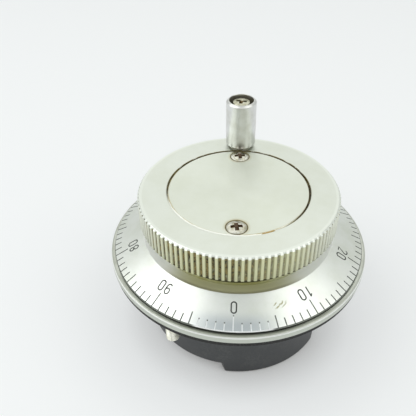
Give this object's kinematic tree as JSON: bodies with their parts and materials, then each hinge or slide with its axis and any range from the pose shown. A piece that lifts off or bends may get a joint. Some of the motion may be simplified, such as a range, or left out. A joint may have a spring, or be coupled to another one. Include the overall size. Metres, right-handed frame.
{
  "type": "pulse generator handwheel",
  "caption": "Panel-mounted manual pulse generator: a fluted aluminium handwheel with a conical graduated dial and a crank knob turns on a flanged bezel, with a black round housing behind the panel.",
  "frame": {"origin": "on the shaft axis, at the plane of the housing's rear rim, on which the part stands", "axes": "+Z along the shaft towards the crank knob; +Y towards the index mark on the bezel; the terminals open towards -Y"},
  "size_m": [0.08, 0.08, 0.066],
  "materials": {
    "bezel_aluminium": "turned, satin",
    "gasket_rubber": "matte",
    "stud_steel": "zinc plated",
    "housing_plastic": "fine matte",
    "screw_steel": "nickel plated",
    "seal_rubber": "matte",
    "bearing_steel": "ground",
    "cage_brass": "satin",
    "detent_iron": "ground",
    "magnet_ferrite": "matte",
    "board_green": "solder mask",
    "sensor_plastic": "matte",
    "terminal_plastic": "satin",
    "contact_brass": "tinned",
    "terminal_steel": "plated",
    "code_steel": "etched",
    "wheel_aluminium": "satin anodised",
    "dial_aluminium": "fine turned",
    "cover_aluminium": "satin anodised",
    "washer_nylon": "satin",
    "knob_aluminium": "turned",
    "bush_acetal": "smooth"
  },
  "bodies": {
    "base": {"bezel_flange": "bezel_aluminium", "panel_gasket": "gasket_rubber", "mounting_studs": "stud_steel", "housing": "housing_plastic", "housing_screws": "screw_steel", "dust_seal": "seal_rubber", "front_outer_race": "bearing_steel", "rear_outer_race": "bearing_steel", "hub_circlip": "screw_steel", "preload_washer": "screw_steel", "detent_stator": "detent_iron", "detent_magnet": "magnet_ferrite", "stator_screws": "screw_steel", "encoder_board": "board_green", "encoder_sensor": "sensor_plastic", "board_screws": "screw_steel", "terminal_block": "terminal_plastic", "terminal_contacts": "contact_brass", "terminal_screws": "terminal_steel"},
    "wheel": {"shaft": "bearing_steel", "front_inner_race": "bearing_steel", "rear_inner_race": "bearing_steel", "bearing_spacer": "bearing_steel", "shaft_circlip": "screw_steel", "detent_rotor": "detent_iron", "rotor_set_screw": "screw_steel", "code_disc": "code_steel", "code_clamp": "code_steel", "handwheel": "wheel_aluminium", "dial_ring": "dial_aluminium", "dial_screws": "screw_steel", "hub_washer": "screw_steel", "hub_nut": "screw_steel", "cover_disc": "cover_aluminium", "cover_screws": "screw_steel", "knob_screw": "screw_steel", "knob_washer": "washer_nylon"},
    "knob": {"crank_knob": "knob_aluminium", "knob_bush": "bush_acetal"},
    "bearing_cages": {"front_cage": "cage_brass", "rear_cage": "cage_brass", "front_balls": "bearing_steel", "rear_balls": "bearing_steel"}
  },
  "joints": [
    {"name": "wheel_spin", "type": "hinge", "parent": "base", "child": "wheel", "pos_m": [0, 0, 0.03], "axis": [0, 0, 1], "continuous": true},
    {"name": "knob_spin", "type": "hinge", "parent": "wheel", "child": "knob", "pos_m": [-0.01219, 0.02217, 0.058], "axis": [0, 0, 1], "continuous": true},
    {"name": "cage_spin", "type": "hinge", "parent": "base", "child": "bearing_cages", "pos_m": [0, 0, 0.03], "axis": [0, 0, 1], "continuous": true}
  ],
  "couplings": [
    {"joint": "cage_spin", "follows": "wheel_spin", "ratio": 0.4}
  ]
}
